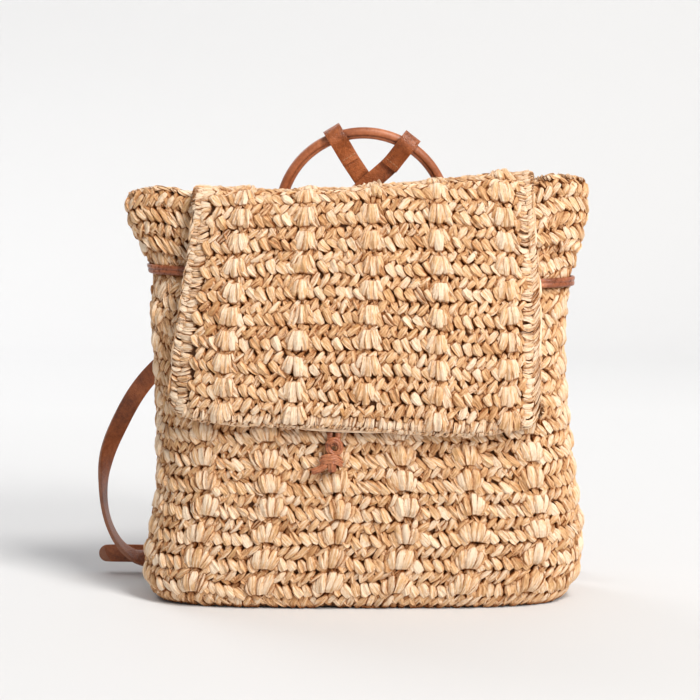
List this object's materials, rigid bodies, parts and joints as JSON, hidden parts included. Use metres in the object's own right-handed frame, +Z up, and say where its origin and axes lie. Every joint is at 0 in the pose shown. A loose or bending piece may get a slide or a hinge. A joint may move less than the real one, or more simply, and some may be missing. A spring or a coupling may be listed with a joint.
{
  "type": "straw backpack",
  "caption": "Crocheted straw backpack with a fold-over flap, a leather ring handle, shoulder straps looped round the ring and a leather drawstring knotted below the flap.",
  "frame": {"origin": "middle of the sack's flat base, on the surface that it stands on", "axes": "+Z up, -Y the front with the flap, +X to the right seen from the front"},
  "size_m": [0.3491, 0.155, 0.3268],
  "materials": {
    "straw": "crocheted raffia, matt with a soft sheen",
    "ring_leather": "cognac leather, satin",
    "strap_leather": "grained saddle leather, satin",
    "lace": "plain leather lace",
    "metal": "satin"
  },
  "bodies": {
    "root": {"body": "straw", "flap": "straw", "ring_handle": "ring_leather", "ring_keeper": "strap_leather", "strap_left": "strap_leather", "strap_right": "strap_leather", "slider_left": "metal", "slider_right": "metal", "anchor_left": "strap_leather", "anchor_right": "strap_leather", "drawstring": "lace", "tie_left": "lace", "tie_right": "lace", "tie_knot": "lace"}
  },
  "joints": []
}
